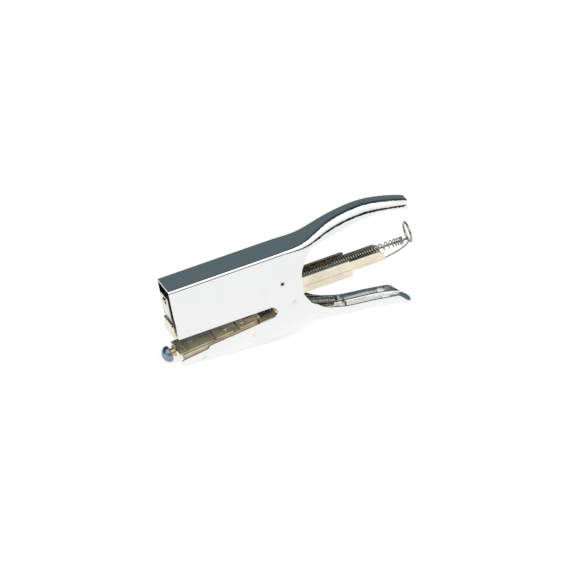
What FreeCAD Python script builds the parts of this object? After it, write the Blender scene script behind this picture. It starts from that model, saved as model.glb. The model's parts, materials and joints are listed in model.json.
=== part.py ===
import FreeCAD, Part
import math
import os

from FreeCAD import Vector

# A plier stapler.  All sub-parts are drawn in the tool's own frame: X runs back from the
# nose, Y across the tool and Z up from the flat top of the casing.  At the end the whole
# tool is tipped so that it stands on its jaw tip and on the tip of its lower handle.

# Casing: one pressed shell that is top, side plates, lower jaw cheeks and upper handle.
CASE_HALF = 11.2
CASE_SHEET = 1.2
CASE_INNER = CASE_HALF - CASE_SHEET
NOSE_HEIGHT = 34.8
CASE_END = 165.1
LIP_WIDTH = 1.8
STRAIGHT_END = 74.0
EDGE_RADIUS = 2.0

# Stations along the pressed hood: X, half width, crest height, shoulder radius.
HOOD_STATIONS = [
    (STRAIGHT_END, CASE_HALF, 0.0, EDGE_RADIUS),
    (80.0, CASE_HALF, 0.0, 2.3),
    (86.0, CASE_HALF, 0.03, 2.9),
    (92.0, 10.95, 0.7, 3.8),
    (100.0, 10.1, 3.2, 5.0),
    (109.0, 9.1, 6.6, 6.0),
    (121.0, 8.6, 9.3, 6.6),
    (133.0, 8.5, 10.3, 6.8),
    (143.0, 8.4, 9.4, 6.8),
    (153.0, 8.0, 7.1, 6.4),
    (160.0, 7.4, 4.9, 5.8),
    (167.0, 6.6, 2.1, 5.0),
]
TIP_START = 154.0
TIP_HALF = 8.0
TIP_TURN = 6.4
TIP_CREST = 3.2

# Lower edge of the upper handle from behind its tip, as X, Z and corner radius.
HANDLE_EDGE = [(172, -5.0, 0), (148.5, 2.7, 25), (130, 2.4, 60), (110, -1.4, 80)]

# Pivots and rivets, as X and Z.
HANDLE_PIVOT = (78.0, -36.6)
HANDLE_SHANK = 1.4
HANDLE_HEAD = 1.75
MAGAZINE_PIVOT = (72.8, -21.3)
MAGAZINE_PIN = 1.8
MAGAZINE_PIN_BORE = 1.0
JAW_RIVETS = [(13.9, -52.6), (48.4, -49.6)]
JAW_RIVET = 1.25
RUNNING_FIT = 0.05

# Travels.
HANDLE_SWING = 14.0
CLINCH_TRAVEL = 4.0

# Magazine: outer channel with an inner core channel, and the staples astride the core.
MAG_HALF = 7.5
MAG_STEP_HALF = 7.2
MAG_SHEET = 0.8
MAG_BOTTOM = -NOSE_HEIGHT
MAG_STEP = -30.4
MAG_TOP = -24.0
MAG_LIP_INNER = 5.0
MAG_END = 120.0
EAR_TOP = -17.6
CORE_HALF = 5.85
CORE_TOP = -25.6
CORE_BOTTOM = -32.6
CORE_END = 143.0
CORE_RIVETS = [22.0, 104.0]
STAPLE_HALF = 6.45
STAPLE_WIRE = 0.5
STAPLE_LEG = 6.0
STRIP_END = 52.0
PLATE_FRONT = -1.85
PLATE_BACK = -0.85
PLATE_TOP = -25.0

# Driver blade and the lever that pushes it.
BLADE_BACK = -0.15
BLADE_THICK = 0.6
BLADE_TOP = -7.0
BLADE_BOTTOM = -24.6
LEVER_TOP = -8.6
LEVER_SHEET = 1.2
LEVER_HALF = 8.5
LEVER_INNER = 7.7
LEVER_FRONT = 9.0
TONGUE_HALF = 1.7
TONGUE_FRONT = -1.6

# Pusher: a rod with a finger ring, its spring, the follower and a stop washer.
ROD_AXIS = -26.5
ROD_RADIUS = 0.75
FOLLOWER_FRONT = 52.3
FOLLOWER_BACK = 62.0
PUSHER_SPRING_MEAN = 2.35
PUSHER_SPRING_WIRE = 0.35
STOP_FRONT = 157.0
STOP_BACK = 157.8
RING_X = 162.0
RING_CENTRE = -22.0
RING_MEAN = 6.4
RING_WIRE = 0.75
LATCH_WIRE = 0.5

# Lower handle: an open channel, as X, half width, underside height and corner radius.
HANDLE_SHEET = 1.2
HANDLE_OUTER = 9.8
HANDLE_CHEEK = 8.6
HANDLE_END = 155.0
HANDLE_TIP_HALF = 8.3
FLOOR_START = 79.5
HANDLE_STATIONS = [
    (64.0, HANDLE_OUTER, -46.6, 2.4),
    (76.0, HANDLE_OUTER, -50.2, 2.4),
    (84.0, HANDLE_OUTER, -53.2, 2.6),
    (94.0, 9.5, -56.2, 2.9),
    (106.0, 8.9, -59.2, 3.1),
    (119.0, 8.6, -61.2, 3.1),
    (131.0, 8.5, -62.5, 2.9),
    (143.0, 8.5, -64.7, 2.9),
    (152.0, 8.3, -67.3, 2.7),
    (158.0, 8.0, -69.3, 2.6),
]
HANG_HOLE = (140.4, 2.6, -63.55)
HANG_HOLE_RADIUS = 2.5
HANG_HOLE_TILT = 11.3

# Return spring of the handles, between a lug on the arm and a tab in the handle's floor.
SPRING_LUG = (72.6, -41.2)
SPRING_TAB = (112.6, -54.1)
RETURN_SPRING_MEAN = 2.55
RETURN_SPRING_WIRE = 0.45
RETURN_SPRING_PITCH = 0.98
RETURN_COIL = (4.6, 34.6)

# Anvil arm: drawn flat, then tilted to the slope of the lower jaw.
ARM_SLOPE = 5.1
ARM_HEIGHT = -45.9
ARM_HALF = 9.8
ARM_LAYER = 1.0
ARM_END = 66.0
KNOB_DEPTH = -1.9
KNOB_ROD = 0.8
KNOB_RADIUS = 5.3
KNOB_FRONT = -10.2
POCKETS = [2.3, 2.3 + CLINCH_TRAVEL]
KNOB_SPRING = (55.6, 63.6)

# Where the tool touches the surface that it stands on, as X and Z.
JAW_REST = (0.6, -54.55)
HANDLE_REST = (154.6, -68.15)


def corner_arc(before, corner, after, radius):
    """Where the arc that rounds a corner starts, its middle point, and where it ends."""
    back = (before - corner).normalize()
    ahead = (after - corner).normalize()
    half = back.getAngle(ahead) / 2
    reach = radius / math.tan(half)
    inward = (back + ahead).normalize()
    middle = corner + inward * (radius / math.sin(half) - radius)
    return corner + back * reach, middle, corner + ahead * reach


def rounded_wire(points, place):
    """A closed wire through corners (a, b, radius), set in a plane by place(a, b)."""
    corners = [place(a, b) for a, b, _ in points]
    arcs = []
    stretches = []
    for i, (_, _, radius) in enumerate(points):
        corner = corners[i]
        if radius == 0:
            stretches.append((corner, corner))
            arcs.append(None)
            continue
        start, middle, end = corner_arc(corners[i - 1], corner, corners[(i + 1) % len(corners)], radius)
        stretches.append((start, end))
        arcs.append(Part.Arc(start, middle, end).toShape())
    edges = []
    for i, arc in enumerate(arcs):
        if arc:
            edges.append(arc)
        leave = stretches[i][1]
        reach = stretches[(i + 1) % len(stretches)][0]
        if leave.distanceToPoint(reach) > 1e-6:
            edges.append(Part.LineSegment(leave, reach).toShape())
    return Part.Wire(edges)


def in_side(a, b):
    return Vector(a, 0, b)


def in_plan(a, b):
    return Vector(a, b, 0)


def in_section(a, b):
    return Vector(0, a, b)


def side_plate(points, y_low, y_high):
    """A plate with an outline in X and Z, between two values of Y."""
    face = Part.Face(rounded_wire(points, in_side))
    face.translate(Vector(0, y_low, 0))
    return face.extrude(Vector(0, y_high - y_low, 0))


def plan_plate(points, z_low, z_high):
    """A plate with an outline in X and Y, between two heights."""
    face = Part.Face(rounded_wire(points, in_plan))
    face.translate(Vector(0, 0, z_low))
    return face.extrude(Vector(0, 0, z_high - z_low))


def block(x, y, z):
    """A box between pairs of limits."""
    size = (x[1] - x[0], y[1] - y[0], z[1] - z[0])
    return Part.makeBox(*size, Vector(x[0], y[0], z[0]))


def cross_pin(spot, radius, y_low, y_high):
    """A cylinder across the tool at a spot given as X and Z."""
    return Part.makeCylinder(radius, y_high - y_low, Vector(spot[0], y_low, spot[1]), Vector(0, 1, 0))


def rod(start, end, radius):
    return Part.makeCylinder(radius, (end - start).Length, start, end - start)


def upright(x, y, z, radius):
    return Part.makeCylinder(radius, z[1] - z[0], Vector(x, y, z[0]))


def both_sides(shape):
    """The shape and its mirror image across the tool."""
    return [shape, shape.mirror(Vector(0, 0, 0), Vector(0, 1, 0))]


def joined(shapes):
    whole = shapes[0].multiFuse(shapes[1:])
    return whole.removeSplitter()


def tunnel(stations, foot, inset):
    """A loft whose sections are square at the foot and rounded at the crown."""
    inward = math.copysign(inset, stations[0][2] - foot)
    sections = []
    for x, half, crown, radius in stations:
        wide = half - inset
        level = crown - inward
        turn = max(radius - inset, 0.8)
        corners = [(-wide, foot, 0), (wide, foot, 0), (wide, level, turn), (-wide, level, turn)]
        wire = rounded_wire(corners, in_section)
        wire.translate(Vector(x, 0, 0))
        sections.append(wire)
    return Part.makeLoft(sections, True, False)


def hood(inset):
    """The pressed hood as a solid, inset from its outer surface."""
    foot = -70.0
    front = -5.0
    half = CASE_HALF - inset
    turn = EDGE_RADIUS - inset
    corners = [(-half, foot, 0), (half, foot, 0), (half, -inset, turn), (-half, -inset, turn)]
    face = Part.Face(rounded_wire(corners, in_section))
    face.translate(Vector(front, 0, 0))
    straight = face.extrude(Vector(STRAIGHT_END - front, 0, 0))
    swept = tunnel(HOOD_STATIONS, foot, inset)
    end = CASE_END - inset
    side = TIP_HALF - inset
    turn = TIP_TURN - inset
    outline = [(150, -side, 0), (end, -side, turn), (end, side, turn), (150, side, 0)]
    before = block((60, TIP_START), (-20, 20), (-80, 30))
    after = plan_plate(outline, -80, 30).common(block((TIP_START, 200), (-20, 20), (-80, 30)))
    return straight.fuse(joined([swept.common(before), swept.common(after)]))


def casing_outline():
    """The side view of the shell, with the throat between the nose and the jaw."""
    crest = [(0, 25, 0), (140, 25, 0), (141, 13, 0), (CASE_END, TIP_CREST, 2.4), (CASE_END, -2.74, 0)]
    rear_edge = [(95.2, -4.1, 3.5), (86.3, -17.2, 14), (85.3, -33.0, 12), (80.2, -55.5, 9.5)]
    jaw = [(52, -57.2, 60), (-0.2, -54.5, 0.9), (-0.6, -50.2, 0.5), (17.6, -48.1, 0.6), (18.9, -46.3, 0.6)]
    throat = [(66.0, -42.1, 3.6), (66.0, -NOSE_HEIGHT, 3.6), (0, -NOSE_HEIGHT, 0.5)]
    return crest + HANDLE_EDGE[1:] + rear_edge + jaw + throat


def lip_band():
    """What the hollow leaves standing along the lower edges of the upper handle."""
    edge = HANDLE_EDGE + [(97, -3.77, 0)]
    under = [(x, z - CASE_SHEET, r) for x, z, r in edge]
    over = [(x, z + CASE_SHEET, r) for x, z, r in reversed(edge)]
    return side_plate(under + over, -20, 20).cut(hood(CASE_SHEET + LIP_WIDTH))


def casing():
    keep = side_plate(casing_outline(), -20, 20)
    hollow = hood(CASE_SHEET).cut(lip_band())
    shell = hood(0).common(keep).cut(hollow)
    holes = [cross_pin(MAGAZINE_PIVOT, MAGAZINE_PIN, -15, 15), cross_pin(HANDLE_PIVOT, HANDLE_HEAD, -15, 15)]
    holes += [cross_pin(spot, JAW_RIVET, -15, 15) for spot in JAW_RIVETS]
    return shell.cut(Part.Compound(holes))


def handle_pivot_pin():
    shank = cross_pin(HANDLE_PIVOT, HANDLE_SHANK, -CASE_INNER, CASE_INNER)
    head = cross_pin(HANDLE_PIVOT, HANDLE_HEAD, CASE_INNER, CASE_HALF)
    return joined([shank] + both_sides(head))


def magazine_pivot_pin():
    tube = cross_pin(MAGAZINE_PIVOT, MAGAZINE_PIN, -CASE_HALF, CASE_HALF)
    return tube.cut(cross_pin(MAGAZINE_PIVOT, MAGAZINE_PIN_BORE, -CASE_HALF, CASE_HALF))


def jaw_rivets():
    return Part.Compound([cross_pin(spot, JAW_RIVET, -CASE_HALF, CASE_HALF) for spot in JAW_RIVETS])


def magazine_channel():
    front = 0.0
    floor = block((front + 1.4, MAG_END), (-MAG_STEP_HALF, MAG_STEP_HALF), (MAG_BOTTOM, MAG_BOTTOM + MAG_SHEET))
    turn = 2.2
    lower = [(front, MAG_BOTTOM, 0), (MAG_END, MAG_BOTTOM, turn), (MAG_END, MAG_STEP, 0), (front, MAG_STEP, 0)]
    upper = [(front, MAG_STEP, 0), (MAG_END, MAG_STEP, 0), (MAG_END, MAG_TOP, turn), (front, MAG_TOP, 0)]
    px = MAGAZINE_PIVOT[0]
    ear = [(px - 9, MAG_TOP, 0), (px + 9, MAG_TOP, 0), (px + 4.4, EAR_TOP, 3.4), (px - 4.4, EAR_TOP, 3.4)]
    inner = MAG_STEP_HALF - MAG_SHEET + 0.3
    walls = both_sides(side_plate(lower, inner, MAG_HALF))
    walls += both_sides(side_plate(upper, inner, MAG_STEP_HALF))
    walls += both_sides(side_plate(ear, inner, MAG_STEP_HALF))
    lips = both_sides(block((front, MAG_END - 0.6), (MAG_LIP_INNER, inner), (MAG_TOP - MAG_SHEET, MAG_TOP)))
    shape = joined([floor] + walls + lips)
    return shape.cut(cross_pin(MAGAZINE_PIVOT, MAGAZINE_PIN + RUNNING_FIT, -15, 15))


def magazine_core():
    """The inner channel, open at the top, that the staples sit astride."""
    inner = CORE_HALF - MAG_SHEET
    outline = [
        (-CORE_HALF, CORE_BOTTOM, 1.0),
        (CORE_HALF, CORE_BOTTOM, 1.0),
        (CORE_HALF, CORE_TOP, 0),
        (inner, CORE_TOP, 0),
        (inner, CORE_BOTTOM + MAG_SHEET, 0.3),
        (-inner, CORE_BOTTOM + MAG_SHEET, 0.3),
        (-inner, CORE_TOP, 0),
        (-CORE_HALF, CORE_TOP, 0),
    ]
    section = Part.Face(rounded_wire(outline, in_section))
    channel = section.extrude(Vector(CORE_END, 0, 0))
    holes = [upright(x, 0, (-40, -30), 1.2) for x in CORE_RIVETS]
    corner_cut = side_plate([(138.5, -25, 0), (144, -25, 0), (144, -28.4, 0)], -10, 10)
    return channel.cut(Part.Compound(holes + [corner_cut]))


def core_rivets():
    """Shouldered rivets that hold the core above the channel's floor."""
    pieces = []
    for x in CORE_RIVETS:
        shank = upright(x, 0, (MAG_BOTTOM + MAG_SHEET, CORE_BOTTOM + MAG_SHEET), 1.2)
        shoulder = upright(x, 0, (MAG_BOTTOM + MAG_SHEET, CORE_BOTTOM), 2.4)
        head = upright(x, 0, (CORE_BOTTOM + MAG_SHEET, CORE_BOTTOM + MAG_SHEET + 0.5), 2.0)
        pieces.append(joined([shank, shoulder, head]))
    return Part.Compound(pieces)


def magazine_front_plate():
    """The guide in front of the driver, wrapped round both sides of the channel."""
    wrap = 0.6
    outer = MAG_HALF + wrap
    outline = [
        (-outer, MAG_BOTTOM, 0),
        (outer, MAG_BOTTOM, 0),
        (outer, -27.2, 0),
        (7.0, PLATE_TOP, 0.8),
        (-7.0, PLATE_TOP, 0.8),
        (-outer, -27.2, 0),
    ]
    face = Part.Face(rounded_wire(outline, in_section))
    face.translate(Vector(PLATE_FRONT, 0, 0))
    plate = face.extrude(Vector(PLATE_BACK - PLATE_FRONT, 0, 0))
    flap = side_plate(
        [(PLATE_BACK, MAG_BOTTOM, 0), (7.5, MAG_BOTTOM, 0.8), (6.2, -30.6, 1.0), (PLATE_BACK, -30.6, 0)],
        MAG_HALF,
        outer,
    )
    return joined([plate] + both_sides(flap))


def staple_strip():
    crown = CORE_TOP + STAPLE_WIRE
    back = block((0.1, STRIP_END), (-STAPLE_HALF, STAPLE_HALF), (CORE_TOP, crown))
    leg = block((0.1, STRIP_END), (STAPLE_HALF - STAPLE_WIRE, STAPLE_HALF), (crown - STAPLE_LEG, crown))
    return joined([back] + both_sides(leg))


def driver_blade():
    """The blade that pushes a staple out, with a gabled window for the lever's tongue."""
    half = STAPLE_HALF
    outline = [
        (-half, BLADE_BOTTOM, 0),
        (half, BLADE_BOTTOM, 0),
        (half, BLADE_TOP - 1.2, 0),
        (half - 1.2, BLADE_TOP, 0.6),
        (-half + 1.2, BLADE_TOP, 0.6),
        (-half, BLADE_TOP - 1.2, 0),
    ]
    window = [(-2.4, -13.4, 0.4), (2.4, -13.4, 0.4), (2.4, -8.9, 0.3), (0, -7.9, 0.5), (-2.4, -8.9, 0.3)]
    blade = Part.Face(rounded_wire(outline, in_section)).cut(Part.Face(rounded_wire(window, in_section)))
    blade.translate(Vector(BLADE_BACK - BLADE_THICK, 0, 0))
    return blade.extrude(Vector(BLADE_THICK, 0, 0))


def drive_lever():
    """An upside-down channel over the magazine, swinging with the lower handle."""
    low_web = LEVER_TOP - LEVER_SHEET
    web = plan_plate(
        [(LEVER_FRONT, -LEVER_HALF, 2), (71, -LEVER_HALF, 0), (71, LEVER_HALF, 0), (LEVER_FRONT, LEVER_HALF, 2)],
        low_web,
        LEVER_TOP,
    )
    px, pz = HANDLE_PIVOT
    outline = [
        (LEVER_FRONT + 2, LEVER_TOP, 0),
        (73.5, LEVER_TOP, 6),
        (83.0, -22.0, 12),
        (84.0, -41.2, 4.5),
        (73.0, -42.4, 4.5),
        (68.5, -26.0, 6),
        (50, -17.0, 12),
        (LEVER_FRONT + 2, -14.4, 1.5),
    ]
    cheeks = both_sides(side_plate(outline, LEVER_INNER, LEVER_HALF))
    lever = joined([web] + cheeks)
    clear = MAGAZINE_PIN + 0.6
    arc_radius = math.hypot(MAGAZINE_PIVOT[0] - px, MAGAZINE_PIVOT[1] - pz)
    rest_angle = math.atan2(MAGAZINE_PIVOT[1] - pz, MAGAZINE_PIVOT[0] - px)
    slots = [cross_pin(HANDLE_PIVOT, HANDLE_SHANK + RUNNING_FIT, -15, 15)]
    for share in (0, 0.25, 0.5, 0.75, 1.0):
        angle = rest_angle - math.radians(HANDLE_SWING) * share
        spot = (px + arc_radius * math.cos(angle), pz + arc_radius * math.sin(angle))
        slots.append(cross_pin(spot, clear, -15, 15))
    return lever.cut(Part.Compound(slots)).cut(lever_rivets())


def drive_tongue():
    """The narrow plate under the lever's web that reaches through the blade's window."""
    high = LEVER_TOP - LEVER_SHEET
    outline = [
        (TONGUE_FRONT, -TONGUE_HALF, 0.5),
        (9.5, -TONGUE_HALF, 0),
        (12, -5.5, 1.0),
        (27, -5.5, 1.5),
        (27, 5.5, 1.5),
        (12, 5.5, 1.0),
        (9.5, TONGUE_HALF, 0),
        (TONGUE_FRONT, TONGUE_HALF, 0.5),
    ]
    return plan_plate(outline, high - LEVER_SHEET, high)


def lower_handle():
    """The moving handle: a tapered channel with two cheeks round the pivot."""
    top = 30.0
    outer = tunnel(HANDLE_STATIONS, top, 0)
    inner = tunnel(HANDLE_STATIONS, top, HANDLE_SHEET)
    shell = outer.cut(inner)
    walls = [
        (84.2, -30.8, 3),
        (86.0, -35.5, 6),
        (89.5, -42.6, 9),
        (99.0, -49.6, 22),
        (112.0, -53.8, 40),
        (130.0, -56.1, 40),
        (146.0, -58.9, 6),
        (151.6, -65.2, 3),
        (162.0, -68.4, 0),
    ]
    front = [(162, -90, 0), (70.0, -90, 0), (69.6, -30.0, 5)]
    keep = side_plate(walls + front, -20, 20)
    half = HANDLE_TIP_HALF
    tip = [(140, -half, 0), (HANDLE_END, -half, 7.2), (HANDLE_END, half, 7.2), (140, half, 0)]
    plan = joined([block((62, 145), (-12, 12), (-90, 40)), plan_plate(tip, -90, 40)])
    shape = shell.common(keep).common(plan)
    mouth = block((60, FLOOR_START), (-HANDLE_CHEEK, HANDLE_CHEEK), (-80, 0))
    shape = shape.cut(mouth)
    lobe_cut = side_plate([(60, -60, 0), (79.5, -60, 0), (79.5, -50.6, 0), (70, -44.5, 6), (60, -44.5, 0)], -20, 20)
    tab = side_plate(
        [
            (SPRING_TAB[0] - 0.7, -59.8, 0),
            (SPRING_TAB[0] + 0.7, -59.8, 0),
            (SPRING_TAB[0] + 0.7, SPRING_TAB[1] + 1.6, 0.3),
            (SPRING_TAB[0] - 0.7, SPRING_TAB[1] + 1.6, 0.3),
        ],
        -2.4,
        2.4,
    )
    eye = rod(Vector(110, 0, SPRING_TAB[1]), Vector(116, 0, SPRING_TAB[1]), 0.8)
    shape = joined([shape.cut(lobe_cut), tab.cut(eye)])
    tilt = math.radians(HANG_HOLE_TILT)
    across = Vector(math.sin(tilt), 0, math.cos(tilt))
    middle = Vector(*HANG_HOLE)
    hang = rod(middle - across * 8, middle + across * 8, HANG_HOLE_RADIUS)
    pivot = cross_pin(HANDLE_PIVOT, HANDLE_SHANK + RUNNING_FIT, -15, 15)
    return shape.cut(Part.Compound([hang, pivot])).cut(lever_rivets())


def lever_rivets():
    """Four rivets that hold the lever's cheeks to the handle's cheeks."""
    spots = [(74.2, -33.4), (81.6, -39.8)]
    shanks = []
    for spot in spots:
        shanks += both_sides(cross_pin(spot, 1.1, LEVER_INNER - 0.1, HANDLE_OUTER))
    return Part.Compound(shanks)


def follower():
    """The block that the spring presses against the staples."""
    core_inner = CORE_HALF - MAG_SHEET
    body = block((FOLLOWER_FRONT, FOLLOWER_BACK), (-core_inner + 0.2, core_inner - 0.2), (-31.2, -23.95))
    wing = block((FOLLOWER_FRONT, FOLLOWER_BACK), (-STAPLE_HALF, STAPLE_HALF), (CORE_TOP + 0.1, -24.95))
    leg = block((FOLLOWER_FRONT, FOLLOWER_BACK - 3), (CORE_HALF + 0.1, STAPLE_HALF), (-30.8, -24.95))
    whole = joined([body, wing] + both_sides(leg))
    bore = rod(Vector(50, 0, ROD_AXIS), Vector(64, 0, ROD_AXIS), ROD_RADIUS)
    return whole.cut(bore)


def pusher_rod():
    """The rod inside the spring, bent up into a finger ring."""
    start = Vector(FOLLOWER_FRONT + 0.2, 0, ROD_AXIS)
    bend = Vector(RING_X - 1.6, 0, ROD_AXIS)
    foot = Vector(RING_X, 0, RING_CENTRE - RING_MEAN + 0.35)
    straight = rod(start, bend, ROD_RADIUS)
    knuckle = Part.makeSphere(ROD_RADIUS, bend)
    slant = rod(bend, foot, RING_WIRE)
    ring = Part.makeTorus(RING_MEAN, RING_WIRE, Vector(RING_X, 0, RING_CENTRE), Vector(1, 0, 0))
    return joined([straight, knuckle, slant, ring])


def latch_wire():
    """The wire from the foot of the ring to a hook under the end of the core."""
    route = [
        (RING_X - 0.9, RING_CENTRE - RING_MEAN - 1.4),
        (152.0, -33.2),
        (143.6, -34.4),
        (138.4, -34.6),
        (137.4, -33.4),
    ]
    points = [Vector(x, 0, z) for x, z in route]
    pieces = [rod(a, b, LATCH_WIRE) for a, b in zip(points, points[1:])]
    pieces += [Part.makeSphere(LATCH_WIRE, point) for point in points]
    return joined(pieces)


def stop_washer():
    disc = rod(Vector(STOP_FRONT, 0, ROD_AXIS), Vector(STOP_BACK, 0, ROD_AXIS), 2.6)
    return disc.cut(rod(Vector(150, 0, ROD_AXIS), Vector(160, 0, ROD_AXIS), ROD_RADIUS))


def coil(start, end, mean, wire, pitch):
    """A round-wire helix on the line from start to end."""
    length = (end - start).Length
    helix = Part.makeHelix(pitch, length, mean)
    profile = Part.Wire(Part.makeCircle(wire, Vector(mean, 0, 0), Vector(0, 1, 0)))
    sweep = Part.Wire(helix).makePipeShell([profile], True, True)
    turn = FreeCAD.Rotation(Vector(0, 0, 1), end - start)
    sweep.Placement = FreeCAD.Placement(start, turn)
    return sweep


def pusher_spring():
    """A plain sleeve that fills the space of the long pusher spring."""
    start = Vector(FOLLOWER_BACK + 0.2, 0, ROD_AXIS)
    end = Vector(STOP_FRONT - 0.1, 0, ROD_AXIS)
    outer = rod(start, end, PUSHER_SPRING_MEAN + PUSHER_SPRING_WIRE)
    return outer.cut(rod(start, end, PUSHER_SPRING_MEAN - PUSHER_SPRING_WIRE))


def return_spring():
    """The closely wound spring that holds the handles apart."""
    lug = Vector(SPRING_LUG[0], 0, SPRING_LUG[1])
    tab = Vector(SPRING_TAB[0], 0, SPRING_TAB[1])
    along = (tab - lug).normalize()
    start = lug + along * RETURN_COIL[0]
    end = lug + along * RETURN_COIL[1]
    return coil(start, end, RETURN_SPRING_MEAN, RETURN_SPRING_WIRE, RETURN_SPRING_PITCH)


def on_arm(shape):
    """Tilt a shape drawn on the flat to the arm's slope and set it on the jaw."""
    shape = shape.copy()
    shape.rotate(Vector(0, 0, 0), Vector(0, 1, 0), -ARM_SLOPE)
    shape.translate(Vector(0, 0, ARM_HEIGHT))
    return shape


def rod_slot():
    """The room that the knob's rod needs along the arm's layers."""
    return block((-1, 56), (-1.2, 1.2), (-8, 1))


def anvil_arm():
    """An upside-down channel between the jaw cheeks, slotted for the knob's rod."""
    top = -2 * ARM_LAYER - 0.1
    web = block((1.0, ARM_END), (-ARM_HALF, ARM_HALF), (top - ARM_LAYER, top))
    well = block((54.6, 65.0), (-4.2, 4.2), (-8, 3))
    flat = on_arm(web.cut(Part.Compound([rod_slot(), well])))
    wall = [(1.0, -53.6, 1), (50, -56.0, 30), (66, -54.6, 4), (66, -42.5, 0), (1.0, -48.3, 0)]
    walls = both_sides(side_plate(wall, ARM_HALF - CASE_SHEET, ARM_HALF))
    lug = side_plate([(64, -44.6, 0), (72, -44.0, 2.5), (74.6, -39.2, 2), (66, -39.2, 1), (64, -42, 0)], -0.8, 0.8)
    eye = cross_pin(SPRING_LUG, 0.9, -3, 3)
    bridge = side_plate([(64, -44.8, 0), (66, -44.6, 0), (66, -41.6, 0), (64, -41.8, 0)], -ARM_HALF, ARM_HALF)
    shape = joined([flat, bridge, lug.cut(eye)] + walls)
    clear = on_arm(rod(Vector(50, 0, KNOB_DEPTH), Vector(65.2, 0, KNOB_DEPTH), 3.4))
    holes = [cross_pin(spot, JAW_RIVET, -15, 15) for spot in JAW_RIVETS]
    return shape.cut(Part.Compound(holes + [clear]))


def bed_plate():
    """The second layer of the arm, under the sliding anvil plate."""
    top = -ARM_LAYER - 0.1
    outline = [(0.6, -ARM_HALF, 1), (54.0, -ARM_HALF, 3), (54.0, ARM_HALF, 3), (0.6, ARM_HALF, 1)]
    plate = plan_plate(outline, top - ARM_LAYER, top)
    return on_arm(plate.cut(rod_slot()))


def forming_pocket(x, side, level):
    """One curved groove that turns a staple leg."""
    radius = 3.6
    depth = 0.55
    width = 0.9
    start = Vector(x - width / 2, side * 4.9, level + radius - depth)
    return Part.makeCylinder(radius, width, start, Vector(1, 0, 0))


def anvil_plate():
    """The sliding plate with a raised pad and two pairs of forming pockets."""
    outline = [(-0.6, -9.2, 1), (23.2, -9.2, 0.8), (23.2, 9.2, 0.8), (-0.6, 9.2, 1)]
    plate = plan_plate(outline, -ARM_LAYER, 0)
    pad = side_plate([(-0.6, 0, 0), (0.2, 0.8, 0.4), (4.3, 1.0, 0.3), (4.7, 0, 0)], -7.6, 7.6)
    shape = joined([plate, pad])
    cuts = []
    for side in (-1, 1):
        cuts.append(forming_pocket(POCKETS[0], side, 0.9))
        cuts.append(forming_pocket(POCKETS[1], side, 0.0))
    cuts += [upright(x, 0.6, (-3, 3), 0.75) for x in (16.7, 20.5)]
    return on_arm(shape.cut(Part.Compound(cuts)))


def anvil_rivet():
    """The round head that fixes the sliding plate to the knob's rod."""
    return on_arm(upright(9.6, 0, (0, 0.5), 2.0))


def cover_plate():
    """A fixed plate across the arm, with a corner notch at its rear."""
    outline = [
        (24.4, -9.2, 0.8),
        (36.6, -9.2, 0.8),
        (36.6, -4.4, 0.6),
        (39.4, -4.4, 0.6),
        (39.4, 9.2, 0.8),
        (24.4, 9.2, 0.8),
    ]
    plate = plan_plate(outline, -ARM_LAYER - 0.1, 0)
    return on_arm(plate)


def guide_plate():
    """The rear plate, with a rounded corner and a long hole over the rod's end."""
    outline = [(40.6, -9.2, 0.8), (54.6, -9.2, 4.0), (54.6, 9.2, 4.0), (40.6, 9.2, 0.8)]
    plate = plan_plate(outline, -ARM_LAYER - 0.1, 0)
    hole = plan_plate([(46, -1.6, 1.4), (53, -1.6, 1.4), (53, 1.6, 1.4), (46, 1.6, 1.4)], -3, 3)
    return on_arm(plate.cut(hole))


def plate_rivets():
    """Low round heads that hold the cover plate and the guide plate."""
    spots = [(28.4, 4.6), (32.4, -4.4), (43.6, 5.6), (43.6, -5.6)]
    return on_arm(Part.Compound([upright(x, y, (0, 0.55), 1.3) for x, y in spots]))


def knob():
    """A domed head on a short neck in front of the jaw."""
    front = KNOB_FRONT
    rim = -5.4
    back = -4.6
    profile = [
        Part.Arc(
            Vector(front, 0, 0),
            Vector(front + 0.85, 0, 3.0),
            Vector(front + 2.9, 0, KNOB_RADIUS - 0.3),
        ).toShape(),
        Part.LineSegment(Vector(front + 2.9, 0, KNOB_RADIUS - 0.3), Vector(rim, 0, KNOB_RADIUS)).toShape(),
        Part.LineSegment(Vector(rim, 0, KNOB_RADIUS), Vector(back, 0, KNOB_RADIUS - 0.5)).toShape(),
        Part.LineSegment(Vector(back, 0, KNOB_RADIUS - 0.5), Vector(back, 0, 0)).toShape(),
        Part.LineSegment(Vector(back, 0, 0), Vector(front, 0, 0)).toShape(),
    ]
    head = Part.Face(Part.Wire(profile)).revolve(Vector(0, 0, 0), Vector(1, 0, 0), 360)
    head = head.cut(rod(Vector(-6.4, 0, 0), Vector(-4, 0, 0), KNOB_ROD))
    head.translate(Vector(0, 0, KNOB_DEPTH))
    return on_arm(head)


def knob_collar():
    """The brass-coloured neck behind the knob's head."""
    neck = rod(Vector(-4.6, 0, KNOB_DEPTH), Vector(-1.4, 0, KNOB_DEPTH), 2.7)
    flange = rod(Vector(-2.4, 0, KNOB_DEPTH), Vector(-1.4, 0, KNOB_DEPTH), 3.3)
    bore = rod(Vector(-6, 0, KNOB_DEPTH), Vector(0, 0, KNOB_DEPTH), KNOB_ROD)
    return on_arm(joined([neck, flange]).cut(bore))


def knob_rod():
    shank = rod(Vector(-6.4, 0, KNOB_DEPTH), Vector(65.0, 0, KNOB_DEPTH), KNOB_ROD)
    seat = rod(Vector(KNOB_SPRING[1] + 0.2, 0, KNOB_DEPTH), Vector(65.0, 0, KNOB_DEPTH), 2.8)
    foot = upright(9.6, 0, (KNOB_DEPTH, -ARM_LAYER), 0.8)
    return on_arm(joined([shank, seat, foot]))


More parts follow.
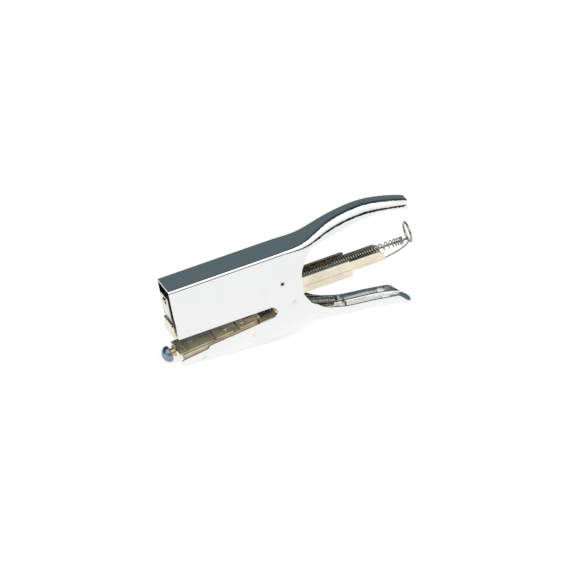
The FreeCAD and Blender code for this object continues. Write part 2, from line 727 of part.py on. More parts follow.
def knob_spring():
    start = on_arm(Part.Vertex(KNOB_SPRING[0] + 0.5, 0, KNOB_DEPTH)).Point
    end = on_arm(Part.Vertex(KNOB_SPRING[1] - 0.4, 0, KNOB_DEPTH)).Point
    return coil(start, end, 2.6, 0.45, 1.2)


def stand(shape, turn, shift):
    placed = shape.copy()
    placed.rotate(Vector(0, 0, 0), Vector(0, 1, 0), turn)
    placed.translate(shift)
    return placed


SUB_PARTS = {
    "casing": casing,
    "handle_pivot_pin": handle_pivot_pin,
    "magazine_pivot_pin": magazine_pivot_pin,
    "jaw_rivets": jaw_rivets,
    "anvil_arm": anvil_arm,
    "bed_plate": bed_plate,
    "cover_plate": cover_plate,
    "guide_plate": guide_plate,
    "plate_rivets": plate_rivets,
    "anvil_plate": anvil_plate,
    "anvil_rivet": anvil_rivet,
    "knob": knob,
    "knob_collar": knob_collar,
    "knob_rod": knob_rod,
    "knob_spring": knob_spring,
    "lower_handle": lower_handle,
    "drive_lever": drive_lever,
    "drive_tongue": drive_tongue,
    "lever_rivets": lever_rivets,
    "return_spring": return_spring,
    "magazine_channel": magazine_channel,
    "magazine_core": magazine_core,
    "core_rivets": core_rivets,
    "magazine_front_plate": magazine_front_plate,
    "staple_strip": staple_strip,
    "driver_blade": driver_blade,
    "follower": follower,
    "pusher_rod": pusher_rod,
    "latch_wire": latch_wire,
    "stop_washer": stop_washer,
    "pusher_spring": pusher_spring,
}


def main():
    os.makedirs("parts", exist_ok=True)
    turn = math.degrees(math.atan2(HANDLE_REST[1] - JAW_REST[1], HANDLE_REST[0] - JAW_REST[0]))
    shapes = {name: make() for name, make in SUB_PARTS.items()}
    tipped = {name: stand(shape, turn, Vector(0, 0, 0)) for name, shape in shapes.items()}
    box = Part.Compound(list(tipped.values())).optimalBoundingBox(False, False)
    shift = Vector(-box.Center.x, -box.Center.y, -box.ZMin)
    for name, shape in shapes.items():
        placed = stand(shape, turn, shift)
        placed.exportStep("parts/" + name + ".step")
    print("turn about +Y, degrees:", round(turn, 5))
    print("shift, mm:", [round(value, 5) for value in shift])
    print("size, mm:", round(box.XLength, 2), round(box.YLength, 2), round(box.ZLength, 2))


main()
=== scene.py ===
import json
import math

import bmesh
import bpy
from bpy.props import FloatProperty, FloatVectorProperty, IntProperty, PointerProperty
from mathutils import Matrix, Vector


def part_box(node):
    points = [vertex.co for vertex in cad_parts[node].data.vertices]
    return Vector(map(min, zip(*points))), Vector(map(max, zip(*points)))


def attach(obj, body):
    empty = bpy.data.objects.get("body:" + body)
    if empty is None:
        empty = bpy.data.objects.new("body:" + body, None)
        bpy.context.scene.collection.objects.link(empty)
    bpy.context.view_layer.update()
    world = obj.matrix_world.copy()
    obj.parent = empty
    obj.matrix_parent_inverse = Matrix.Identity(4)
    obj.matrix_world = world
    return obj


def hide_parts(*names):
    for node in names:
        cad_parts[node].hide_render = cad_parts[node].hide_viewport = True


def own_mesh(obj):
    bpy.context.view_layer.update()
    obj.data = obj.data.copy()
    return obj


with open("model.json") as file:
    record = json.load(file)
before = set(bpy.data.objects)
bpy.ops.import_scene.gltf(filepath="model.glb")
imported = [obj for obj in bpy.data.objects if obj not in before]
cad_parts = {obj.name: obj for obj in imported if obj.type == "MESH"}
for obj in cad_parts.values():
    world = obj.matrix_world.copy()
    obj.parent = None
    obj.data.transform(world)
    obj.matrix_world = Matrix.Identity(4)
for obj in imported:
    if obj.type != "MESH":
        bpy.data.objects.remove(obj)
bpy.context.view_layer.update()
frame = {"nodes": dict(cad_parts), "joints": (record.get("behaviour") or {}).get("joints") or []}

bl_info = {
    "name": "Plier Stapler",
    "version": (1, 0, 0),
    "blender": (4, 5, 0),
    "location": "View3D > Sidebar > Stapler",
    "description": "Springs, wires, staples and metal finishes of a plier stapler",
    "category": "Add Mesh",
}

MM = 0.001
JOINTS = {joint["name"]: joint for joint in frame["joints"]}
ALONG = Vector(JOINTS["pusher_pull"]["axis"]).normalized()
UP = -Vector(JOINTS["driver_slide"]["axis"]).normalized()
ACROSS = UP.cross(ALONG)
PIVOT = Vector(JOINTS["handle_swing"]["pos_m"])
PIVOT_X = 78.0
PIVOT_Z = -36.6
JAW_FORWARD = Vector(JOINTS["clinch_select"]["axis"]).normalized()

# Places along the tool, in millimetres from the nose, the middle and the casing's top.
ROD_HEIGHT = -26.5
FOLLOWER_BACK = 62.6
CLOSE_END = 138.0
STOP_FRONT = 156.7
LUG = (72.6, -41.2)
TAB = (112.6, -54.1)
RETURN_COIL = (4.6, 34.6)
RETURN_TURNS = 31
KNOB_TURNS = 6
KNOB_SPRING_LENGTH = 7.3
CLOSE_PITCH = 1.6
LOOSE_TURNS = [(1, 1.9), (1, 2.8), (1, 3.9), (1, 3.2), (1, 2.3)]
ENDING_TURNS = 3
STRIP = (0.1, 52.0)
VIEW_TARGET = (74.3, -11.2, -22.4)
CORE_TOP = -25.6
LATCH_ROUTE = [
    (161.6, -28.6),
    (160.6, -30.3),
    (155.0, -32.4),
    (149.0, -33.7),
    (143.4, -34.6),
    (139.4, -34.9),
    (137.7, -34.5),
    (137.3, -33.2),
]

SHELL_NODES = ["casing", "lower_handle"]
PIN_NODES = ["handle_pivot_pin", "magazine_pivot_pin", "jaw_rivets", "lever_rivets"]
NICKEL_NODES = [
    "magazine_channel",
    "magazine_core",
    "magazine_front_plate",
    "drive_lever",
    "drive_tongue",
    "follower",
]
ARM_NODES = ["anvil_arm", "bed_plate", "cover_plate", "guide_plate", "anvil_plate"]
RIVET_NODES = ["plate_rivets", "anvil_rivet", "core_rivets"]
WIRE_NODES = ["pusher_rod", "stop_washer", "knob_rod"]


def at(x, y, z):
    """A point given in the tool's own frame in millimetres, as a place in metres."""
    return PIVOT + ((x - PIVOT_X) * ALONG + y * ACROSS + (z - PIVOT_Z) * UP) * MM


class StaplerSprings(bpy.types.PropertyGroup):
    """Sizes of the springs and bent wires."""

    pusher_mean: FloatProperty(
        name="Pusher Spring Radius",
        description="To the middle of the wire",
        default=2.35 * MM,
        unit="LENGTH",
    )
    pusher_wire: FloatProperty(
        name="Pusher Spring Wire", description="Radius of the wire", default=0.36 * MM, unit="LENGTH"
    )
    return_mean: FloatProperty(
        name="Return Spring Radius",
        description="To the middle of the wire",
        default=2.55 * MM,
        unit="LENGTH",
    )
    return_wire: FloatProperty(
        name="Return Spring Wire", description="Radius of the wire", default=0.46 * MM, unit="LENGTH"
    )
    knob_mean: FloatProperty(
        name="Knob Spring Radius", description="To the middle of the wire", default=2.6 * MM, unit="LENGTH"
    )
    knob_wire: FloatProperty(
        name="Knob Spring Wire", description="Radius of the wire", default=0.48 * MM, unit="LENGTH"
    )
    latch_wire: FloatProperty(
        name="Latch Wire", description="Radius of the latch wire", default=0.5 * MM, unit="LENGTH"
    )
    steps: IntProperty(name="Steps per Turn", description="Facets in one turn of a coil", default=20)


class StaplerColours(bpy.types.PropertyGroup):
    """Colours of the metals."""

    chrome: FloatVectorProperty(
        name="Chrome",
        description="Polished shell",
        size=3,
        subtype="COLOR",
        default=(0.80, 0.81, 0.815),
    )
    nickel: FloatVectorProperty(
        name="Nickel",
        description="Magazine and lever",
        size=3,
        subtype="COLOR",
        default=(0.78, 0.71, 0.58),
    )
    arm: FloatVectorProperty(
        name="Arm",
        description="Plates of the lower jaw",
        size=3,
        subtype="COLOR",
        default=(0.56, 0.495, 0.375),
    )
    wire: FloatVectorProperty(
        name="Wire",
        description="Springs and rods",
        size=3,
        subtype="COLOR",
        default=(0.46, 0.46, 0.44),
    )
    steel: FloatVectorProperty(
        name="Steel",
        description="Rivets, blade and staples",
        size=3,
        subtype="COLOR",
        default=(0.74, 0.735, 0.71),
    )
    knob: FloatVectorProperty(
        name="Knob",
        description="Turned knob",
        size=3,
        subtype="COLOR",
        default=(0.23, 0.28, 0.36),
    )
    brass: FloatVectorProperty(
        name="Brass",
        description="Neck of the knob",
        size=3,
        subtype="COLOR",
        default=(0.80, 0.60, 0.28),
    )
    floor: FloatVectorProperty(
        name="Floor",
        description="Paper sweep",
        size=3,
        subtype="COLOR",
        default=(0.45, 0.45, 0.448),
    )


class StaplerCamera(bpy.types.PropertyGroup):
    """Where the camera stands and what it looks at."""

    azimuth: FloatProperty(
        name="Azimuth",
        description="Round the tool",
        default=math.radians(-17.33),
        unit="ROTATION",
    )
    elevation: FloatProperty(
        name="Elevation",
        description="Above the floor",
        default=math.radians(28.61),
        unit="ROTATION",
    )
    roll: FloatProperty(
        name="Roll",
        description="About the view axis",
        default=math.radians(-6.34),
        unit="ROTATION",
    )
    distance: FloatProperty(
        name="Distance",
        description="From the tool",
        default=6.0,
        unit="LENGTH",
    )
    field: FloatProperty(
        name="Field",
        description="Width of the view at the tool",
        default=0.35625,
        unit="LENGTH",
    )


# Finishes.


class Shade:
    """A metal material under construction, with its node tree."""

    def __init__(self, name):
        self.material = bpy.data.materials.new(name)
        self.material.use_nodes = True
        self.tree = self.material.node_tree
        self.shader = self.tree.nodes["Principled BSDF"]
        self.shader.inputs["Metallic"].default_value = 1.0
        self.coords = self.node("ShaderNodeTexCoord")

    def node(self, kind, **settings):
        made = self.tree.nodes.new(kind)
        for key, value in settings.items():
            setattr(made, key, value)
        return made

    def link(self, out, into):
        self.tree.links.new(out, into)

    def noise(self, scale, stretch=(1, 1, 1), detail=3.0):
        """Noise on object coordinates, drawn out along a direction."""
        mapping = self.node("ShaderNodeMapping")
        mapping.inputs["Scale"].default_value = stretch
        self.link(self.coords.outputs["Object"], mapping.inputs["Vector"])
        texture = self.node("ShaderNodeTexNoise")
        texture.inputs["Scale"].default_value = scale
        texture.inputs["Detail"].default_value = detail
        self.link(mapping.outputs["Vector"], texture.inputs["Vector"])
        return texture.outputs["Fac"]

    def ramp(self, factor, stops):
        """A colour ramp through (position, colour) stops."""
        ramp = self.node("ShaderNodeValToRGB")
        while len(ramp.color_ramp.elements) < len(stops):
            ramp.color_ramp.elements.new(0.5)
        for element, (place, colour) in zip(ramp.color_ramp.elements, stops):
            element.position = place
            element.color = (*colour, 1.0)
        self.link(factor, ramp.inputs["Fac"])
        return ramp.outputs["Color"]

    def spread(self, factor, low, high, start=0.3, end=0.7):
        """A number between low and high, led by a texture."""
        chart = self.node("ShaderNodeMapRange")
        chart.inputs["From Min"].default_value = start
        chart.inputs["From Max"].default_value = end
        chart.inputs["To Min"].default_value = low
        chart.inputs["To Max"].default_value = high
        self.link(factor, chart.inputs["Value"])
        return chart.outputs["Result"]

    def bumps(self, *layers):
        """Bump from (height, strength, distance) layers, one over another."""
        below = None
        for height, strength, distance in layers:
            bump = self.node("ShaderNodeBump")
            bump.inputs["Strength"].default_value = strength
            bump.inputs["Distance"].default_value = distance
            self.link(height, bump.inputs["Height"])
            if below:
                self.link(below, bump.inputs["Normal"])
            below = bump.outputs["Normal"]
        self.link(below, self.shader.inputs["Normal"])


def toned(colour, share):
    """A colour made lighter or darker by a share, and kept within white."""
    return tuple(min(1.0, channel * share) for channel in colour)


def polished_chrome(colour):
    """Bright plating with a faint ripple, finger smudges and hairline scratches."""
    shade = Shade("polished_chrome")
    smudge = shade.noise(60.0, detail=4.0)
    hairline = shade.noise(900.0, (0.05, 1.0, 1.0), 2.0)
    ripple = shade.noise(38.0, detail=1.0)
    tint = shade.ramp(smudge, [(0.3, toned(colour, 0.97)), (0.7, colour)])
    shade.link(tint, shade.shader.inputs["Base Color"])
    shade.link(shade.spread(smudge, 0.045, 0.12), shade.shader.inputs["Roughness"])
    shade.bumps((ripple, 0.12, 0.00012), (hairline, 0.05, 0.000004))
    return shade.material


def nickel_plate(colour):
    """Warm nickel over rolled sheet, with a grain along the tool and duller patches."""
    shade = Shade("nickel_plate")
    grain = shade.noise(1400.0, (0.04, 1.0, 1.0), 3.0)
    patch = shade.noise(90.0, detail=5.0)
    tint = shade.ramp(patch, [(0.25, toned(colour, 0.78)), (0.55, colour), (0.85, toned(colour, 1.1))])
    shade.link(tint, shade.shader.inputs["Base Color"])
    shade.link(shade.spread(patch, 0.16, 0.30), shade.shader.inputs["Roughness"])
    shade.bumps((patch, 0.10, 0.00005), (grain, 0.16, 0.000008))
    return shade.material


def arm_plate(colour):
    """Pressed plates of the jaw: brushed across, with rubbed and tarnished places."""
    shade = Shade("arm_plate")
    grain = shade.noise(1100.0, (1.0, 0.05, 1.0), 3.0)
    tarnish = shade.noise(170.0, detail=6.0)
    tint = shade.ramp(tarnish, [(0.3, toned(colour, 0.82)), (0.55, colour), (0.8, toned(colour, 1.12))])
    shade.link(tint, shade.shader.inputs["Base Color"])
    shade.link(shade.spread(tarnish, 0.42, 0.28), shade.shader.inputs["Roughness"])
    shade.bumps((tarnish, 0.14, 0.00006), (grain, 0.2, 0.00001))
    return shade.material


def drawn_wire(colour):
    """Bright drawn wire with a little oil darkening."""
    shade = Shade("drawn_wire")
    oil = shade.noise(420.0, detail=4.0)
    tint = shade.ramp(oil, [(0.3, toned(colour, 0.6)), (0.6, colour)])
    shade.link(tint, shade.shader.inputs["Base Color"])
    shade.link(shade.spread(oil, 0.14, 0.28), shade.shader.inputs["Roughness"])
    shade.bumps((oil, 0.1, 0.00002))
    return shade.material


def shade_darkened_wire(colour):
    """Spring wire painted dark as shade, standing for the shadow inside the body; rubbed bright in places.
    """
    shade = Shade("painted_shade_spring_wire")
    rub = shade.noise(500.0, detail=4.0)
    # painted shade: the wire colour is cut to 0.18 to 0.5 of itself, for the shadow inside the body
    tint = shade.ramp(rub, [(0.35, toned(colour, 0.18)), (0.7, toned(colour, 0.5))])
    shade.link(tint, shade.shader.inputs["Base Color"])
    shade.link(shade.spread(rub, 0.22, 0.38), shade.shader.inputs["Roughness"])
    shade.bumps((rub, 0.1, 0.00002))
    return shade.material


def rivet_steel(colour):
    """Peened rivet heads, slightly dimpled."""
    shade = Shade("rivet_steel")
    dimple = shade.noise(900.0, detail=2.0)
    tint = shade.ramp(dimple, [(0.3, toned(colour, 0.8)), (0.7, toned(colour, 1.1))])
    shade.link(tint, shade.shader.inputs["Base Color"])
    shade.link(shade.spread(dimple, 0.12, 0.24), shade.shader.inputs["Roughness"])
    shade.bumps((dimple, 0.22, 0.00003))
    return shade.material


def turned_steel(colour):
    """The knob's blued steel, with turning marks round its axis."""
    shade = Shade("turned_steel")
    cloud = shade.noise(200.0, detail=4.0)
    marks = shade.noise(3000.0, (1.0, 0.1, 0.1), 2.0)
    tint = shade.ramp(cloud, [(0.3, toned(colour, 0.75)), (0.7, toned(colour, 1.25))])
    shade.link(tint, shade.shader.inputs["Base Color"])
    shade.link(shade.spread(cloud, 0.2, 0.34), shade.shader.inputs["Roughness"])
    shade.bumps((marks, 0.25, 0.00001))
    return shade.material


def plain_brass(colour):
    """Brass of the knob's neck, a little browned in random places."""
    shade = Shade("plain_brass")
    stain = shade.noise(380.0, detail=4.0)
    tint = shade.ramp(stain, [(0.3, toned(colour, 0.6)), (0.65, colour)])
    shade.link(tint, shade.shader.inputs["Base Color"])
    shade.link(shade.spread(stain, 0.3, 0.18), shade.shader.inputs["Roughness"])
    shade.bumps((stain, 0.1, 0.00002))
    return shade.material


def blade_steel(colour):
    """Hardened flat steel, ground up and down the blade."""
    shade = Shade("blade_steel")
    grinding = shade.noise(1500.0, (1.0, 1.0, 0.04), 3.0)
    cloud = shade.noise(160.0, detail=3.0)
    tint = shade.ramp(cloud, [(0.3, toned(colour, 0.8)), (0.7, toned(colour, 1.05))])
    shade.link(tint, shade.shader.inputs["Base Color"])
    shade.link(shade.spread(cloud, 0.2, 0.32), shade.shader.inputs["Roughness"])
    shade.bumps((grinding, 0.25, 0.00001))
    return shade.material


FINISHES = {}


def finish_of(name):
    """The material of a finish, made once."""
    colours = bpy.context.scene.stapler_colours
    makers = {
        "chrome": (polished_chrome, colours.chrome),
        "nickel": (nickel_plate, colours.nickel),
        "arm": (arm_plate, colours.arm),
        "wire": (drawn_wire, colours.wire),
        # painted shade: the knob spring's wire is darkened for the shadow it sits in
        "painted_shade_wire": (shade_darkened_wire, colours.wire),
        "rivet": (rivet_steel, colours.steel),
        "knob": (turned_steel, colours.knob),
        "brass": (plain_brass, colours.brass),
        "blade": (blade_steel, colours.steel),
    }
    if name not in FINISHES:
        maker, colour = makers[name]
        FINISHES[name] = maker(tuple(colour))
    return FINISHES[name]


def dress(nodes, finish, edge=0.16):
    """Give carried-over nodes a finish, merged corners and softly broken edges."""
    for name in nodes:
        piece = frame["nodes"][name]
        piece.data.materials.clear()
        piece.data.materials.append(finish_of(finish))
        custom = piece.data.attributes.get("custom_normal")
        if custom:
            piece.data.attributes.remove(custom)
        for face in piece.data.polygons:
            face.use_smooth = True
            face.material_index = 0
        weld = piece.modifiers.new("merge", "WELD")
        weld.merge_threshold = 0.002 * MM
        if edge:
            bevel = piece.modifiers.new("edges", "BEVEL")
            bevel.width = edge * MM
            bevel.segments = 2
            bevel.limit_method = "ANGLE"
            bevel.angle_limit = math.radians(35)
            bevel.use_clamp_overlap = True
        weights = piece.modifiers.new("normals", "WEIGHTED_NORMAL")
        weights.weight = 60


# Pieces.


def piece_from(bm, name, finish, body, replaced):
    """Turn a bmesh into a finished piece that rides on a body."""
    bmesh.ops.recalc_face_normals(bm, faces=bm.faces)
    mesh = bpy.data.meshes.new(name)
    bm.to_mesh(mesh)
    bm.free()
    for face in mesh.polygons:
        face.use_smooth = True
    piece = bpy.data.objects.new(name, mesh)
    bpy.context.scene.collection.objects.link(piece)
    mesh.materials.append(finish_of(finish))
    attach(piece, body)
    if replaced:
        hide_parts(replaced)
    return piece


def wind(bm, start, axis, mean, wire, stretches, steps, sides=10):
    """Wind round wire about an axis in stretches of (turns, pitch), and close its ends."""
    side = ACROSS
    rim = bmesh.ops.create_circle(bm, segments=sides, radius=wire)["verts"]
    tangent = axis.cross(side)
    turn = Vector((0, 0, 1)).rotation_difference(tangent).to_matrix().to_4x4()
    bmesh.ops.transform(bm, matrix=Matrix.Translation(start + side * mean) @ turn, verts=rim)
    section = rim + list({edge for vert in rim for edge in vert.link_edges})
    centre = start
    for turns, pitch in stretches:
        count = max(4, round(turns * steps))
        rise = axis * (pitch * turns)
        spun = bmesh.ops.spin(
            bm, geom=section, cent=centre, axis=axis, dvec=rise / count, angle=turns * math.tau, steps=count
        )
        section = spun["geom_last"]
        centre = centre + rise
    bmesh.ops.holes_fill(bm, edges=bm.edges, sides=sides)


def bent_wire(bm, points, radius, sides=10):
    """Add a smooth wire along a few points to a bmesh."""
    curve = bpy.data.curves.new("route", "CURVE")
    curve.dimensions = "3D"
    curve.bevel_depth = radius
    curve.bevel_resolution = sides // 4
    curve.use_fill_caps = True
    spline = curve.splines.new("NURBS")
    spline.points.add(len(points) - 1)
    for point, place in zip(spline.points, points):
        point.co = (*place, 1.0)
    spline.order_u = 3
    spline.use_endpoint_u = True
    spline.resolution_u = 8
    guide = bpy.data.objects.new("route", curve)
    bpy.context.scene.collection.objects.link(guide)
    bpy.context.view_layer.update()
    mesh = bpy.data.meshes.new_from_object(guide)
    bm.from_mesh(mesh)
    bpy.data.meshes.remove(mesh)
    bpy.data.objects.remove(guide)
    bpy.data.curves.remove(curve)
    bmesh.ops.remove_doubles(bm, verts=bm.verts, dist=0.001 * MM)


class STAPLER_OT_pusher_spring(bpy.types.Operator):
    """Wind the long pusher spring, close behind the follower and loose near the ring."""

    bl_idname = "stapler.pusher_spring"
    bl_label = "Pusher Spring"

    def execute(self, context):
        sizes = context.scene.stapler_springs
        close_length = CLOSE_END - FOLLOWER_BACK
        close = (close_length / CLOSE_PITCH, CLOSE_PITCH * MM)
        loose = [(turns, pitch * MM) for turns, pitch in LOOSE_TURNS]
        left = STOP_FRONT - CLOSE_END - sum(turns * pitch for turns, pitch in LOOSE_TURNS)
        ending = (ENDING_TURNS, left / ENDING_TURNS * MM)
        stretches = [close] + loose + [ending]
        bm = bmesh.new()
        start = at(FOLLOWER_BACK, 0, ROD_HEIGHT)
        wind(bm, start, ALONG, sizes.pusher_mean, sizes.pusher_wire, stretches, sizes.steps, 8)
        piece_from(bm, "pusher_spring_coil", "wire", "pusher", "pusher_spring")
        return {"FINISHED"}


class STAPLER_OT_return_spring(bpy.types.Operator):
    """Wind the handles' return spring and bend its two hooks."""

    bl_idname = "stapler.return_spring"
    bl_label = "Return Spring"

    def execute(self, context):
        sizes = context.scene.stapler_springs
        lug = at(LUG[0], 0, LUG[1])
        tab = at(TAB[0], 0, TAB[1])
        axis = (tab - lug).normalized()
        normal = axis.cross(ACROSS)
        start = lug + axis * RETURN_COIL[0] * MM
        end = lug + axis * RETURN_COIL[1] * MM
        pitch = (end - start).length / RETURN_TURNS
        mean = sizes.return_mean
        bm = bmesh.new()
        wind(bm, start, axis, mean, sizes.return_wire, [(RETURN_TURNS, pitch)], sizes.steps)
        for place, eye, out in ((start, lug, -axis), (end, tab, axis)):
            hook = [
                place + ACROSS * mean,
                place + out * 0.5 * MM + ACROSS * mean * 0.8 + normal * mean * 0.5,
                place + out * 1.0 * MM + ACROSS * mean * 0.2,
                eye - out * 1.4 * MM,
                eye - out * 0.4 * MM - normal * 0.9 * MM,
                eye + out * 0.9 * MM - normal * 0.5 * MM,
                eye + out * 1.0 * MM + normal * 0.6 * MM,
                eye - out * 0.3 * MM + normal * 1.0 * MM,
            ]
            bent_wire(bm, hook, sizes.return_wire)
        piece_from(bm, "return_spring_coil", "wire", "handle", "return_spring")
        return {"FINISHED"}


class STAPLER_OT_knob_spring(bpy.types.Operator):
    """Wind the spring at the back of the throat, pressed when the knob is pulled; its wire is painted dark
    as shade.
    """

    bl_idname = "stapler.knob_spring"
    bl_label = "Knob Spring"

    def execute(self, context):
        sizes = context.scene.stapler_springs
        low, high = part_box("knob_spring")
        middle = (Vector(low) + Vector(high)) / 2
        length = KNOB_SPRING_LENGTH * MM
        start = middle + JAW_FORWARD * length / 2
        coils = [(KNOB_TURNS, length / KNOB_TURNS)]
        bm = bmesh.new()
        wind(bm, start, -JAW_FORWARD, sizes.knob_mean, sizes.knob_wire, coils, sizes.steps)
        # the knob spring takes the wire darkened as painted shade
        piece = piece_from(bm, "knob_spring_coil", "painted_shade_wire", "casing", "knob_spring")
        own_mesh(piece)
        return {"FINISHED"}


class STAPLER_OT_latch_wire(bpy.types.Operator):
    """Bend the wire from the finger ring to its hook under the core."""

    bl_idname = "stapler.latch_wire"
    bl_label = "Latch Wire"

    def execute(self, context):
        bm = bmesh.new()
        points = [at(x, 0, z) for x, z in LATCH_ROUTE]
        bent_wire(bm, points, context.scene.stapler_springs.latch_wire)
        piece_from(bm, "latch_wire_bent", "wire", "pusher", "latch_wire")
        return {"FINISHED"}


class STAPLER_OT_staples(bpy.types.Operator):
    """Fill the magazine with single staples, side by side."""

    bl_idname = "stapler.staples"
    bl_label = "Staples"

    def execute(self, context):
        half = 6.45
        wire = 0.5
        thick = 0.49
        leg = 6.0
        gap = 0.53
        count = int((STRIP[1] - STRIP[0]) / gap)
        limbs = [(0, 2 * half, CORE_TOP + wire / 2, wire)]
        limbs += [(side * (half - wire / 2), wire, CORE_TOP + wire - leg / 2, leg) for side in (-1, 1)]
        bm = bmesh.new()
        tilt = Matrix((ALONG, ACROSS, UP)).transposed().to_4x4()
        for i in range(count):
            x = STRIP[0] + gap * (i + 0.5)
            for y, wide, z, tall in limbs:
                size = Matrix.Diagonal((thick * MM, wide * MM, tall * MM, 1))
                place = Matrix.Translation(at(x, y, z)) @ tilt @ size
                bmesh.ops.create_cube(bm, size=1.0, matrix=place)
        piece = piece_from(bm, "staple_row", "rivet", "magazine", "staple_strip")
        for face in piece.data.polygons:
            face.use_smooth = False
        return {"FINISHED"}


class STAPLER_OT_metalwork(bpy.types.Operator):
    """Finish the shell, pins, plates, rods and knob."""

    bl_idname = "stapler.metalwork"
    bl_label = "Metalwork"

    def execute(self, context):
        dress(SHELL_NODES, "chrome", 0.2)
        dress(PIN_NODES, "rivet", 0.12)
        dress(NICKEL_NODES, "nickel", 0.12)
        dress(ARM_NODES, "arm", 0.12)
        dress(RIVET_NODES, "rivet", 0.15)
        dress(WIRE_NODES, "wire", 0.1)
        dress(["knob"], "knob", 0.12)
        dress(["knob_collar"], "brass", 0.12)
        dress(["driver_blade"], "blade", 0.08)
        return {"FINISHED"}


# Stage.


MIX_FACTOR = 0
MIX_FIRST = 6
MIX_SECOND = 7
MIX_RESULT = 2


def studio_sky(scene):
    """A soft room: bright overhead, dim behind the tool and dark at the front horizon."""
    world = bpy.data.worlds.new("studio")
    scene.world = world
    world.use_nodes = True
    tree = world.node_tree
    back = tree.nodes["Background"]
    coords = tree.nodes.new("ShaderNodeTexCoord")
    split = tree.nodes.new("ShaderNodeSeparateXYZ")
    angle = tree.nodes.new("ShaderNodeMath")
    angle.operation = "ARCTAN2"
    share = tree.nodes.new("ShaderNodeMath")
    share.operation = "DIVIDE"
    share.inputs[1].default_value = math.pi
    ramp = tree.nodes.new("ShaderNodeValToRGB")
    stops = [
        (0.0, (0.34, 0.37, 0.39)),
        (0.05, (0.17, 0.21, 0.23)),
        (0.12, (0.128, 0.172, 0.19)),
        (0.21, (0.12, 0.165, 0.182)),
        (0.30, (0.06, 0.085, 0.10)),
        (0.43, (0.012, 0.016, 0.02)),
        (0.475, (1.12, 1.11, 1.04)),
        (0.62, (1.18, 1.17, 1.08)),
        (0.84, (1.05, 1.05, 1.0)),
        (0.885, (0.05, 0.06, 0.08)),
        (0.93, (0.01, 0.015, 0.03)),
        (1.0, (0.02, 0.04, 0.07)),
    ]
    while len(ramp.color_ramp.elements) < len(stops):
        ramp.color_ramp.elements.new(0.5)
    for element, (place, colour) in zip(ramp.color_ramp.elements, stops):
        element.position = place
        element.color = (*colour, 1)
    rays = tree.nodes.new("ShaderNodeLightPath")
    seen = tree.nodes.new("ShaderNodeMix")
    seen.data_type = "RGBA"
    seen.inputs[MIX_SECOND].default_value = (1.0, 1.0, 1.0, 1.0)
    tree.links.new(coords.outputs["Generated"], split.inputs[0])
    tree.links.new(split.outputs["Z"], angle.inputs[0])
    tree.links.new(split.outputs["Y"], angle.inputs[1])
    tree.links.new(angle.outputs[0], share.inputs[0])
    tree.links.new(share.outputs[0], ramp.inputs["Fac"])
    tree.links.new(rays.outputs["Is Camera Ray"], seen.inputs[MIX_FACTOR])
    tree.links.new(ramp.outputs["Color"], seen.inputs[MIX_FIRST])
    tree.links.new(seen.outputs[MIX_RESULT], back.inputs["Color"])
    back.inputs["Strength"].default_value = 1.0


def paper_floor(colour):
    """A wide pale sweep, lit a little from within so that it stays near white."""
    side = 6.0
    below = -0.2 * MM
    bpy.ops.mesh.primitive_plane_add(size=side, location=(0, 0, below))
    floor = bpy.context.active_object
    floor.name = "paper_floor"
    material = bpy.data.materials.new("paper")
    material.use_nodes = True
    shader = material.node_tree.nodes["Principled BSDF"]
    shader.inputs["Base Color"].default_value = (*colour, 1)
    shader.inputs["Roughness"].default_value = 0.9
    shader.inputs["Specular IOR Level"].default_value = 0.1
    shader.inputs["Emission Color"].default_value = (1, 1, 1, 1)
    shader.inputs["Emission Strength"].default_value = 0.76
    floor.data.materials.append(material)


def softbox(name, place, target, size, power):
    """A rectangular soft light that looks at a point."""
    light = bpy.data.lights.new(name, "AREA")
    light.shape = "RECTANGLE"
    light.size = size[0]
    light.size_y = size[1]
    light.energy = power
    lamp = bpy.data.objects.new(name, light)
    bpy.context.scene.collection.objects.link(lamp)
    lamp.location = place
    look = Vector(target) - Vector(place)
    lamp.rotation_euler = look.to_track_quat("-Z", "Y").to_euler()


def set_camera(scene):
    """A long lens at the tool's three-quarter view from the nose's left."""
    view = scene.stapler_camera
    camera = bpy.data.cameras.new("camera")
    camera.sensor_width = 36.0
    camera.lens = camera.sensor_width * view.distance / view.field
    camera.clip_end = 20.0
    holder = bpy.data.objects.new("camera", camera)
    scene.collection.objects.link(holder)
    around = Matrix.Rotation(view.azimuth, 4, "Z")
    tipped = Matrix.Rotation(math.pi / 2 - view.elevation, 4, "X")
    rolled = Matrix.Rotation(view.roll, 4, "Z")
    turn = around @ tipped @ rolled
    target = at(*VIEW_TARGET)
    back = turn.to_3x3() @ Vector((0, 0, 1))
    holder.matrix_world = Matrix.Translation(target + back * view.distance) @ turn
    scene.camera = holder


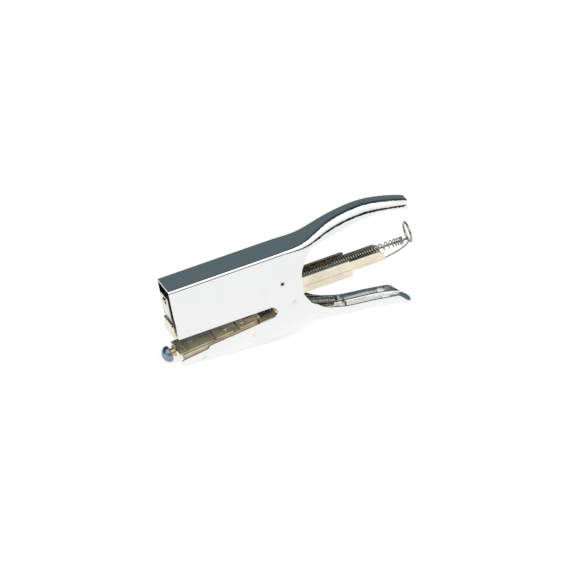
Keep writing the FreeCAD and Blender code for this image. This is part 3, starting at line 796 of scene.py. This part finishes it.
class STAPLER_OT_stage(bpy.types.Operator):
    """Set the floor, the soft light, the room and the camera."""

    bl_idname = "stapler.stage"
    bl_label = "Stage"

    def execute(self, context):
        scene = context.scene
        paper_floor(scene.stapler_colours.floor)
        studio_sky(scene)
        softbox("overhead", (0.1, -0.35, 1.1), (0, 0, 0), (1.2, 0.8), 1.5)
        set_camera(scene)
        scene.view_settings.view_transform = "Standard"
        scene.view_settings.look = "None"
        return {"FINISHED"}


class STAPLER_PT_sidebar(bpy.types.Panel):
    """Sizes and colours of the stapler, and its makers."""

    bl_label = "Plier Stapler"
    bl_idname = "STAPLER_PT_sidebar"
    bl_space_type = "VIEW_3D"
    bl_region_type = "UI"
    bl_category = "Stapler"

    def draw(self, context):
        layout = self.layout
        for place in GROUPS:
            group = getattr(context.scene, place)
            box = layout.box()
            for name in group.bl_rna.properties.keys():
                if name not in ("rna_type", "name"):
                    box.prop(group, name)
        for operator in OPERATORS:
            layout.operator(operator.bl_idname)


OPERATORS = (
    STAPLER_OT_metalwork,
    STAPLER_OT_pusher_spring,
    STAPLER_OT_return_spring,
    STAPLER_OT_knob_spring,
    STAPLER_OT_latch_wire,
    STAPLER_OT_staples,
    STAPLER_OT_stage,
)
GROUPS = {
    "stapler_springs": StaplerSprings,
    "stapler_colours": StaplerColours,
    "stapler_camera": StaplerCamera,
}


def register():
    for group in GROUPS.values():
        bpy.utils.register_class(group)
    for operator in OPERATORS:
        bpy.utils.register_class(operator)
    bpy.utils.register_class(STAPLER_PT_sidebar)
    for name, group in GROUPS.items():
        setattr(bpy.types.Scene, name, PointerProperty(type=group))


def unregister():
    for name in GROUPS:
        delattr(bpy.types.Scene, name)
    bpy.utils.unregister_class(STAPLER_PT_sidebar)
    for operator in reversed(OPERATORS):
        bpy.utils.unregister_class(operator)
    for group in reversed(list(GROUPS.values())):
        bpy.utils.unregister_class(group)


def main():
    register()
    bpy.ops.stapler.metalwork()
    bpy.ops.stapler.pusher_spring()
    bpy.ops.stapler.return_spring()
    bpy.ops.stapler.knob_spring()
    bpy.ops.stapler.latch_wire()
    bpy.ops.stapler.staples()
    bpy.ops.stapler.stage()
    bpy.context.view_layer.update()


if __name__ == "__main__":
    main()
